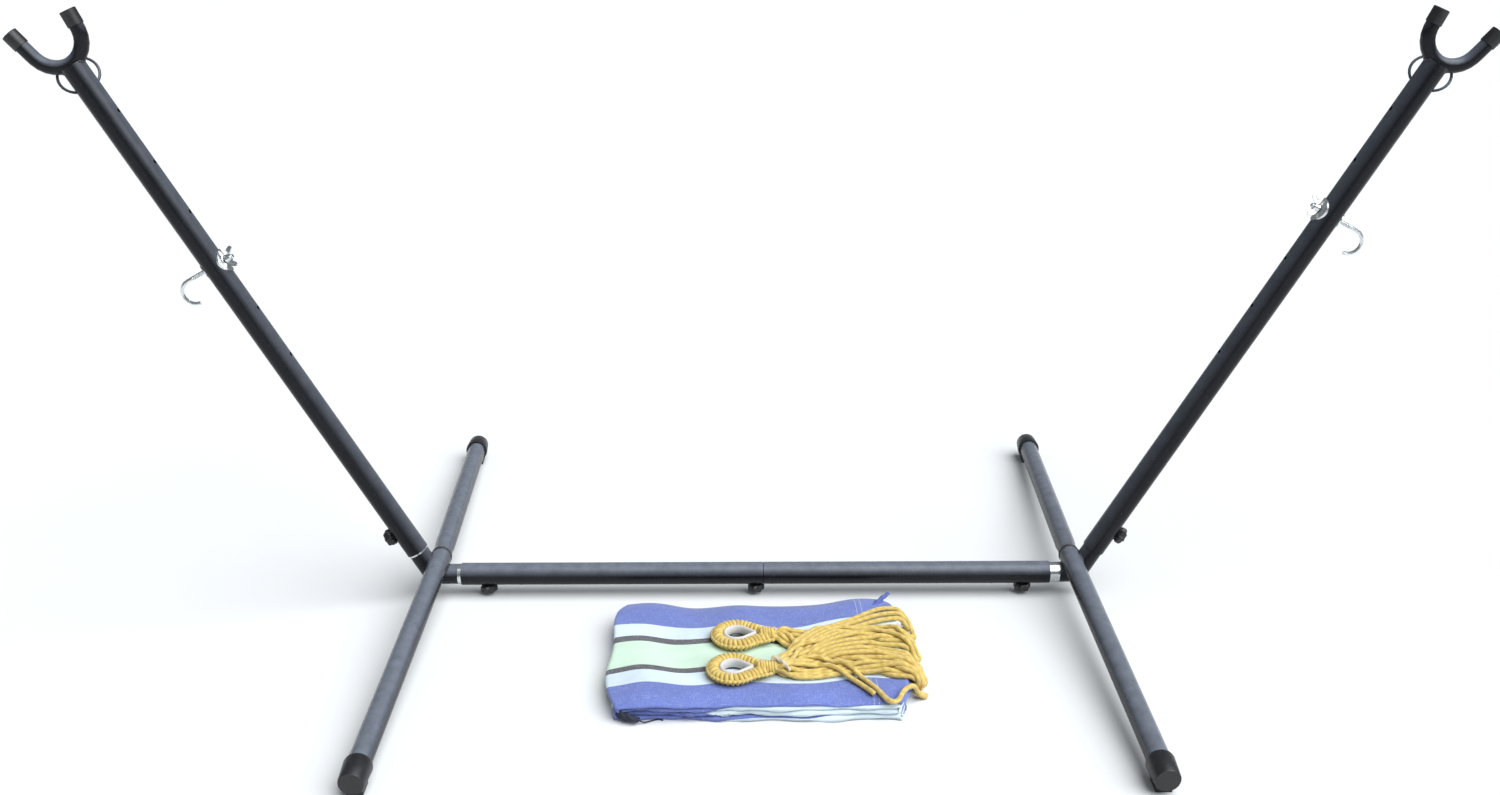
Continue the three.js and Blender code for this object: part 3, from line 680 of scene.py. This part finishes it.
def settle(routes):
    """Lets the cords drop onto the cloth and each other, at fixed length and pushed apart."""
    sizes = [len(route) for route in routes]
    starts = np.concatenate([[0], np.cumsum(sizes)[:-1]])
    spans = list(zip(starts, sizes))
    points = np.vstack(routes)
    owner = np.repeat(np.arange(len(routes)), sizes)
    place = np.concatenate([np.arange(size) for size in sizes])
    home = points.copy()
    links = np.concatenate([np.arange(start, start + size - 1) for start, size in spans])
    rest = np.linalg.norm(points[links + 1] - points[links], axis=1) * TAUT
    even = place[links] % 2 == 0
    halves = ((links[even], rest[even]), (links[~even], rest[~even]))
    inner = np.concatenate([np.arange(start + 1, start + size - 1) for start, size in spans])
    at_neck = np.concatenate([starts, starts + 1, starts + 2])
    at_hem = [start + size - 1 - back for index, (start, size) in enumerate(spans)
              for back in (0, 1) if index + 1 != BARE_CORD]
    held = np.concatenate([at_neck, np.array(at_hem, int)])
    for step in range(SETTLE_ROUNDS):
        if step % SEARCH_EVERY == 0:
            first, second = neighbours(points, owner, place)
        points[:, 2] -= DROP
        points[:, :2] += HOMING * (home[:, :2] - points[:, :2])
        for _ in range(4):
            straighten(points, inner)
            push_apart(points, first, second)
            for chosen, wanted in halves:
                keep_length(points, chosen, wanted)
            push_off_cloth(points)
            points[held] = home[held]
    return [points[start:start + size] for start, size in spans]


def eased_turn(path):
    """Takes the kinks out of a cord where it turns down to the hem."""
    eased = smoothed(path, TURN_ROUNDS)
    share = ramp(path[:, 0], CLOTH_RIGHT - 0.006, TURN_X)
    return path + share[:, None] * (eased - path)


def strand_surface(distance, angle):
    """Three-strand twist: a slightly lobed section that turns along the cord."""
    lobe = np.cos(3 * angle - distance * 2 * math.pi / TWIST_PITCH)
    return CORD_D / 2 * (0.97 + 0.03 * lobe)


def lay_cords():
    settled = settle([rough_route(order, *row) for order, row in enumerate(ROUTES)])
    for number, ((eye, _, _), route) in enumerate(zip(ROUTES, settled), start=1):
        soft = smoothed(resampled(route, SOFTEN_STEP), SOFTEN_ROUNDS)
        path = resampled(eased_turn(soft), DRAWN_STEP)
        points, faces, uv = tube(path, strand_surface)
        piece = new_object(f"cord_{eye}_{number:02d}", points, faces, CORD, uv)
        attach(piece, "hammock")


# ---- the folded cloth ------------------------------------------------------------------------
CLOTH_STEP = 0.0072
CLOTH_THICK = 1.1 * MM


def folded_cloth():
    u = stations(RUNS, RUN, CLOTH_STEP, FOLD_U, 9)
    v = stations(LAYERS, PANEL, CLOTH_STEP, FOLD_V, 7)
    v = v[v <= FLAT_WIDTH]
    grid_u, grid_v = np.meshgrid(u, v, indexing="ij")
    points = folded(grid_u, grid_v).reshape(-1, 3)
    uv = np.stack([grid_u.ravel(), grid_v.ravel()], axis=1)
    piece = new_object("folded_hammock_cloth", points, grid_faces(len(u), len(v)), CLOTH, uv)
    thick = piece.modifiers.new("thickness", "SOLIDIFY")
    thick.thickness = CLOTH_THICK
    thick.offset = 0.0
    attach(piece, "hammock")
    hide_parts("hammock_bed", "rope_strands_upper", "rope_strands_lower")


# ---- welds, bare metal and threads on the stand -------------------------------------------------
FOOT_SPLAY, FOOT_DROP, FOOT_END = 0.014, 0.014, 0.640
WELD_IN, WELD_BACK, WELD_UP = 0.013, 0.015, 0.029
NECK_R = 0.016
FORK_BEND_R = 0.048
FORK_BEND_ACROSS, FORK_BEND_UP = -0.002, 0.049
FORK_WELD_HALF = 0.0105
SOCKET_START = 0.058
HOOK_ALONG = {"left": 0.698, "right": 0.798}
HOOK_WIRE_R = 0.0035
HOOK_THREADS = ((0.0336, 0.0372), (-0.0245, -0.0480))   # past the wing nut, and on the hook's side
THREAD_PITCH, THREAD_THICK = 0.00125, 0.0009
BEAD = 0.0023
BEAD_RIPPLE = 0.0036
BEAD_STEP = 0.0007
REAR_BEAD_ALONG = 2.2 * BEAD              # the neck's bead lies clear of the front tube's
RIM_STEPS = 360
BEAM_TUBE_END = 0.5574
BARE_BANDS = (("right", 1, 0.5755), ("left", -1, 0.5635))
BARE_SKIN = 0.0002
BARE_RING_GAP, BARE_RING_LENGTH = 0.0035, 0.0033
SHARP_EDGE = math.radians(32)


def corner(sign):
    return np.array([sign * CORNER_X, 0.0, BEAM_Z])


def arm_way(sign):
    return np.array([sign * math.sin(ARM_TILT), 0.0, math.cos(ARM_TILT)])


def arm_across(sign):
    return np.array([-sign * math.cos(ARM_TILT), 0.0, math.sin(ARM_TILT)])


def beam_way(sign):
    return np.array([-float(sign), 0.0, 0.0])


def foot_joint(sign):
    """Where the two foot tubes meet, inward of the corner, behind it and above it."""
    return corner(sign) + np.array([-sign * WELD_IN, WELD_BACK, WELD_UP])


def foot_way(sign, back=-1):
    """The way a foot tube runs from the joint: the front one, or the rear one with back=1."""
    way = corner(sign) + np.array([sign * FOOT_SPLAY, back * FOOT_END, -FOOT_DROP]) - foot_joint(sign)
    return way / np.linalg.norm(way)


def mitre_normal(sign):
    """Square to the plane of the elbow's mitre, towards the arm."""
    normal = arm_way(sign) - beam_way(sign)
    return normal / np.linalg.norm(normal)


def around(axis):
    """Two vectors square to an axis and to each other."""
    first = np.cross(axis, (0.0, 1.0, 0.0) if abs(axis[1]) < 0.9 else (1.0, 0.0, 0.0))
    first /= np.linalg.norm(first)
    return first, np.cross(axis, first)


def ring_round(origin, axis, radius):
    """A circle about an axis, in three-degree steps."""
    first, second = around(axis)
    angle = np.linspace(0, 2 * math.pi, 121)[:, None]
    return origin + radius * (first * np.cos(angle) + second * np.sin(angle))


def stub_rim(sign, axis):
    """Points round a stub at the corner, starting on the side nearest the foot tube."""
    away = corner(sign) - foot_joint(sign)
    away -= away.dot(axis) * axis
    away /= np.linalg.norm(away)
    angle = np.linspace(-math.pi, math.pi, RIM_STEPS + 1)[:, None]
    return corner(sign) + STUB_R * (away * np.cos(angle) + np.cross(axis, away) * np.sin(angle))


def from_foot_axis(points, sign):
    """The part of each point's offset from the foot tube's axis that is square to that axis."""
    foot = foot_way(sign)
    offset = points - foot_joint(sign)
    return offset - (offset @ foot)[:, None] * foot


def stub_weld(sign, axis):
    """Where a stub leaves the side of the foot tube: over the top and back down to the mitre.

    A point of the stub's rim, slid a distance t along the stub, reaches the foot tube's surface
    where square * t * t + linear * t + constant = 0.
    """
    rim = np.roll(stub_rim(sign, axis)[:-1], RIM_STEPS // 2, axis=0)
    flat = from_foot_axis(rim, sign)
    foot = foot_way(sign)
    flat_axis = axis - axis.dot(foot) * foot
    square = flat_axis.dot(flat_axis)
    linear = 2 * flat @ flat_axis
    constant = (flat ** 2).sum(axis=1) - FOOT_R ** 2
    spread = linear * linear - 4 * square * constant
    met = spread >= 0
    middle = rim[met] - (linear[met] / (2 * square))[:, None] * axis
    reach = (np.sqrt(spread[met]) / (2 * square))[:, None] * axis
    near = middle - reach
    past_mitre = (near - corner(sign)) @ mitre_normal(sign) * np.sign(axis.dot(mitre_normal(sign))) > 0
    half = len(near) // 2
    start = near[:half][past_mitre[:half]][::-1]
    end = near[half:][past_mitre[half:]][::-1]
    return np.vstack([start, middle + reach, end])


def elbow_weld(sign):
    """The mitre between the two stubs, where the foot tube does not cover it."""
    axis, normal = arm_way(sign), mitre_normal(sign)
    rim = stub_rim(sign, axis)
    seam = rim - ((rim - corner(sign)) @ normal / axis.dot(normal))[:, None] * axis
    return seam[np.linalg.norm(from_foot_axis(seam, sign), axis=1) > FOOT_R]


def bead_surface(distance, angle):
    """The ripples of a weld bead."""
    ripple = np.abs(np.sin(distance * math.pi / BEAD_RIPPLE))
    return BEAD * (0.84 + 0.20 * ripple + 0.07 * np.sin(distance * 310 + angle))


def bead(path):
    return tube(resampled(path, BEAD_STEP), bead_surface, 10)


def fork_welds(sign):
    """Both sides of the fish mouth where the arm meets the round of the fork."""
    beads = []
    for face in (1, -1):
        y = np.linspace(-FORK_WELD_HALF, FORK_WELD_HALF, 25)
        out = np.sqrt(TUBE_R ** 2 - y ** 2) * face
        rise = FORK_BEND_UP - np.sqrt(FORK_BEND_R ** 2 - (out - FORK_BEND_ACROSS) ** 2)
        along = ARM_REACH + rise - np.sqrt(FORK_R ** 2 - y ** 2)
        beads.append(corner(sign) + along[:, None] * arm_way(sign) + out[:, None] * arm_across(sign)
                     + y[:, None] * np.array([0.0, 1.0, 0.0]))
    return beads


def weld_beads(side, sign):
    joint, rear = foot_joint(sign), foot_way(sign, 1)
    lines = [
        ring_round(joint, foot_way(sign), FOOT_R - BEAD / 2),
        ring_round(joint + REAR_BEAD_ALONG * rear, rear, NECK_R + BEAD / 2),
        stub_weld(sign, arm_way(sign)),
        stub_weld(sign, beam_way(sign)),
        elbow_weld(sign),
        *fork_welds(sign),
    ]
    points, faces, uv = merged([bead(line) for line in lines])
    piece = new_object(f"{side}_weld_beads", points, faces, WELD, uv)
    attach(piece, "stand")


def keep_edges_sharp(piece):
    split = piece.modifiers.new("sharp_edges", "EDGE_SPLIT")
    split.split_angle = SHARP_EDGE


def sleeve(name, start, end, radius):
    """A thin skin of bare steel round a stub."""
    path = resampled([start, end], 0.0008)
    points, faces, uv = tube(path, lambda distance, angle: radius, 48)
    piece = new_object(name, points, faces, ZINC, uv)
    keep_edges_sharp(piece)
    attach(piece, "stand")


def bare_metal():
    """Unpainted steel left showing on the stubs next to the beam and the left arm."""
    for side, sign, end in BARE_BANDS:
        sleeve(f"{side}_bare_band", (sign * end, 0, BEAM_Z), (sign * BEAM_TUBE_END, 0, BEAM_Z),
               STUB_R + BARE_SKIN)
    start = corner(-1) + (SOCKET_START - BARE_RING_GAP) * arm_way(-1)
    sleeve("left_arm_bare_ring", start, start + BARE_RING_LENGTH * arm_way(-1), STUB_R + 3 * BARE_SKIN)


def hook_threads(side, sign):
    at = corner(sign) + HOOK_ALONG[side] * arm_way(sign)
    turns = []
    for low, high in HOOK_THREADS:
        path = resampled([at + low * arm_across(sign), at + high * arm_across(sign)], 0.001)
        turns.append(coil(path, HOOK_WIRE_R - 0.0001, THREAD_PITCH, THREAD_THICK, 6, 14))
    points, faces, uv = merged(turns)
    piece = new_object(f"{side}_hook_thread", points, faces, ZINC, uv)
    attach(piece, f"{side}_hook")


# ---- wrapped eyes ----------------------------------------------------------------------------
EYE_R = 0.034
EYE_OPENING = 42                          # degrees left open each way, where the eye runs to its neck
EYE_POINT = 0.052
EYE_HALF_GAP = 0.007                      # half the way between the eye's two ends at its neck
WRAP_D = 0.0080
WRAP_REACH = 0.0068
RIB_PITCH = 0.0074
HITCH_REACH = 0.0098
HITCH_R, HITCH_SWELL = 0.0021, 0.0016
NECK_OVERLAP = 0.012
NECK_CORE_R = 0.0095
NECK_REACH = 0.0108
NECK_RIB = 0.0046
NECK_FLAT = 0.86
LINING_HALF_THICK, LINING_HALF_HEIGHT = 0.0042, 0.0090
LINING_SIDES = 12


def along_path(path, places):
    """Points and sideways vectors of a path at given distances along it."""
    side, up = frames_along(path)
    run = distances(path)
    return [np.stack([np.interp(places, run, rows[:, i]) for i in range(3)], axis=1)
            for rows in (path, side, up)]


def coil(path, reach, pitch, thickness, sides=8, steps=20, flat=1.0):
    """A cord wound round a path in close turns; flat squashes the winding in its second direction."""
    length = path_length(path)
    places = np.linspace(0, length, int(length / pitch * steps))
    centre, side, up = along_path(path, places)
    angle = (places / pitch * 2 * math.pi)[:, None]
    wound = centre + reach * (side * np.cos(angle) + up * np.sin(angle) * flat)
    return tube(wound, lambda distance, angle: thickness / 2, sides)


def eye_loop(eye, inset=0.0, level=0.0):
    """The drop-shaped line of an eye; inset moves it inwards and level lifts it."""
    x, y = EYE_AT[eye]
    z = float(top_height(x, y)) + WRAP_REACH + WRAP_D / 2 + level
    radius = EYE_R - inset
    turn = np.radians(np.linspace(EYE_OPENING, 360 - EYE_OPENING, 33))
    ring = [(x + radius * math.cos(a), y + radius * math.sin(a), z) for a in turn]
    point = x + EYE_POINT - 1.5 * inset
    half = max(EYE_HALF_GAP - inset, 0.0)
    path = [(point, y + half, z)] + ring + [(point, y - half, z)]
    return rounded(path, 0.002, 14)


def hitch_surface(distance, angle):
    return HITCH_R + HITCH_SWELL * np.abs(np.sin(distance * math.pi / RIB_PITCH))


def hitches(eye):
    """The row of half hitches that runs along the outer rim of the wrap."""
    rim = eye_loop(eye, inset=-HITCH_REACH, level=0.001)
    return tube(resampled(rim, 0.0008), hitch_surface, 8)


def wrapped_eye(eye):
    """The eye's cord wrap, the hitches on its rim and the tightly wound neck."""
    x, y = EYE_AT[eye]
    loop = eye_loop(eye)
    low = loop[0][2] + 0.002
    start = (x + EYE_POINT - NECK_OVERLAP, y, low)
    end = (NECK_END_X - 0.004, y, low + 0.001)
    neck = resampled([start, end], 0.002)
    parts = [
        tube(loop, lambda distance, angle: WRAP_REACH * 0.95),
        coil(loop, WRAP_REACH, RIB_PITCH, WRAP_D),
        hitches(eye),
        tube(neck, lambda distance, angle: NECK_CORE_R),
        coil(neck, NECK_REACH, NECK_RIB, NECK_RIB + 0.0006, 8, 26, NECK_FLAT),
    ]
    points, faces, uv = merged(parts)
    piece = new_object(f"eye_{eye}_wrap", points, faces, CORD, uv)
    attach(piece, "hammock")
    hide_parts(f"rope_eye_{eye}")


def eye_lining(eye):
    """Plain white sleeve that shows all round the inside of the eye."""
    inner = eye_loop(eye, inset=WRAP_REACH + WRAP_D / 2 + 0.0018, level=-0.0005)
    side, up = frames_along(inner)
    angle = np.linspace(0, 2 * math.pi, LINING_SIDES, endpoint=False)
    section = side[:, None, :] * (LINING_HALF_THICK * np.cos(angle))[None, :, None]
    section = section + up[:, None, :] * (LINING_HALF_HEIGHT * np.sin(angle))[None, :, None]
    _, faces, uv = tube(inner, lambda distance, angle: LINING_HALF_THICK, LINING_SIDES)
    piece = new_object(f"eye_{eye}_lining", (inner[:, None, :] + section).reshape(-1, 3), faces, LINING, uv)
    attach(piece, "hammock")


# ---- hem, knots and tie string -----------------------------------------------------------------
STITCH_LENGTH = 0.0046
STITCH_GAP = 0.0016
STITCH_LINES = (0.070, 0.061)             # how far in from the cloth's end each line runs
STITCH_MARGIN = 0.004
STITCH_SLANT = 0.010
STITCH_LIFT = 0.0012
THREAD_R = 0.0007


def hem_stitching():
    parts = []
    for back in STITCH_LINES:
        start = STITCH_MARGIN
        while start < PANEL + STITCH_MARGIN:
            v = np.linspace(start, start + STITCH_LENGTH, 6)
            u = FLAT_LENGTH - back + STITCH_SLANT * v / PANEL
            path = folded(u, v, lift=STITCH_LIFT)
            parts.append(tube(path, lambda distance, angle: THREAD_R, 6))
            start += STITCH_LENGTH + STITCH_GAP
    points, faces, uv = merged(parts)
    piece = new_object("hem_stitching", points, faces, STITCH, uv)
    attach(piece, "hammock")


# Gathered and knotted ends: name, route in millimetres, radius, material and slot.
TIPS = (
    ("hem_corner_tip", ((216, -112, 34), (226, -98, 37), (236, -88, 41), (246, -80, 44)),
     0.0058, TIP, "striped_cloth"),
    ("pale_cord_knot", ((24, -336, 63), (34, -340, 65), (46, -352, 62), (54, -364, 56)),
     0.0050, PALE_CORD, "mustard_rope"),
    ("tie_knot", ((-232, -424, 14), (-218, -434, 13), (-204, -439, 11), (-197, -437, 9)),
     0.0085, TIE, "striped_cloth"),
)
TIP_TAPER = 0.45                          # share of its radius that a tip loses by its end
TIP_TWIST = 420                           # radians a metre
TIE_STRING = ((-200, -437, 10), (-193, -439, 5), (-186, -436, 3), (-178, -430, 1.6), (-166, -424, 1.4),
              (-158, -428, 1.4))
TIE_D = 0.0024


def twisted_tip(name, route, radius, look, slot):
    """A gathered end of cloth or cord, twisted and tapering to its tip."""
    path = rounded(np.array(route) * MM, 0.001, 12)
    length = path_length(path)

    def surface(distance, angle):
        taper = 1 - TIP_TAPER * (distance / length) ** 2
        return radius * taper * (0.86 + 0.14 * np.cos(3 * angle - distance * TIP_TWIST))

    points, faces, uv = tube(path, surface, 14)
    piece = new_object(name, points, faces, look, uv)
    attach(piece, "hammock")


def tie_string():
    """The end of the dark string that holds the pile's front left corner."""
    path = rounded(np.array(TIE_STRING) * MM, 0.001, 20)
    points, faces, uv = tube(path, lambda distance, angle: TIE_D / 2, 8)
    piece = new_object("tie_string", points, faces, TIE, uv)
    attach(piece, "hammock")


# ---- the stand's own nodes, the floor and the light --------------------------------------------
def paint_stand():
    """Gives each node the material of the kind that its name tells, with smooth rounds and sharp edges."""
    for name, node in NODES.items():
        if any(word in name for word in ("stud", "weld_nut", "hook", "wing_nut")):
            look = ZINC
        elif "cap" in name or name.endswith("_head"):
            look = PLASTIC
        else:
            look = POWDER
        node.data.materials.clear()
        node.data.materials.append(look)
        node.data.polygons.foreach_set("use_smooth", [True] * len(node.data.polygons))
        weld = node.modifiers.new("weld", "WELD")
        weld.merge_threshold = 0.02 * MM
        keep_edges_sharp(node)


FLOOR_HALF = 14.0


def make_floor():
    corners = [(x * FLOOR_HALF, y * FLOOR_HALF, 0) for x, y in ((-1, -1), (1, -1), (1, 1), (-1, 1))]
    new_object("floor", corners, [(0, 1, 2, 3)], floor_paint(), smooth=False)


FILL_COLOR = (0.90, 0.95, 1.0, 1.0)
FILL_STRENGTH = 0.25
SKY_SPREAD = math.radians(66)
SKY_FROM = Vector((0.48, -0.30, 0.82))
SKY_ENERGY = 4.9
SKY_COLOR = (0.95, 0.98, 1.0)


def light_studio():
    """A broad soft light from above, the front and the right, and a faint fill all round."""
    world = bpy.data.worlds.new("studio")
    world.use_nodes = True
    background = world.node_tree.nodes["Background"]
    background.inputs["Color"].default_value = FILL_COLOR
    background.inputs["Strength"].default_value = FILL_STRENGTH
    scene.world = world
    data = bpy.data.lights.new("overhead_softbox", "SUN")
    data.angle = SKY_SPREAD
    data.energy = SKY_ENERGY
    data.color = SKY_COLOR
    light = bpy.data.objects.new("overhead_softbox", data)
    light.rotation_euler = SKY_FROM.to_track_quat("Z", "Y").to_euler()
    scene.collection.objects.link(light)


make_camera()
lay_cords()
folded_cloth()
for eye in EYE_AT:
    wrapped_eye(eye)
    eye_lining(eye)
hem_stitching()
for tip in TIPS:
    twisted_tip(*tip)
tie_string()
for side, sign in SIDES:
    weld_beads(side, sign)
    hook_threads(side, sign)
bare_metal()
paint_stand()
make_floor()
light_studio()
